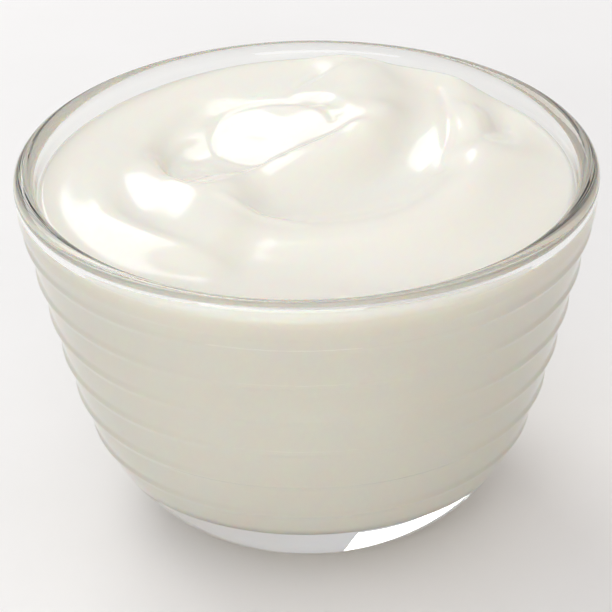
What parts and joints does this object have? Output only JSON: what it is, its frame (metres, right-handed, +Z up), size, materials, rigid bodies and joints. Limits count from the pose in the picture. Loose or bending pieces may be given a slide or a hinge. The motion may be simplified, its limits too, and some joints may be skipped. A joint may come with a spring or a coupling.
{
  "type": "bowl of yogurt",
  "caption": "Small ribbed clear glass bowl filled to the rim with plain white yogurt, its top stirred into soft spiral folds.",
  "frame": {"origin": "on the bowl's axis at the underside of its foot, where it stands", "axes": "+Z up along the bowl's axis; -Y faces the front, +X is to the viewer's right"},
  "size_m": [0.105, 0.105, 0.0669],
  "materials": {
    "glass": "clear pressed soda-lime glass, fire-polished and glossy",
    "yogurt": "thick plain yogurt, wet and softly glossy"
  },
  "bodies": {
    "root": {"glass_bowl": "glass", "yogurt": "yogurt"}
  },
  "joints": []
}
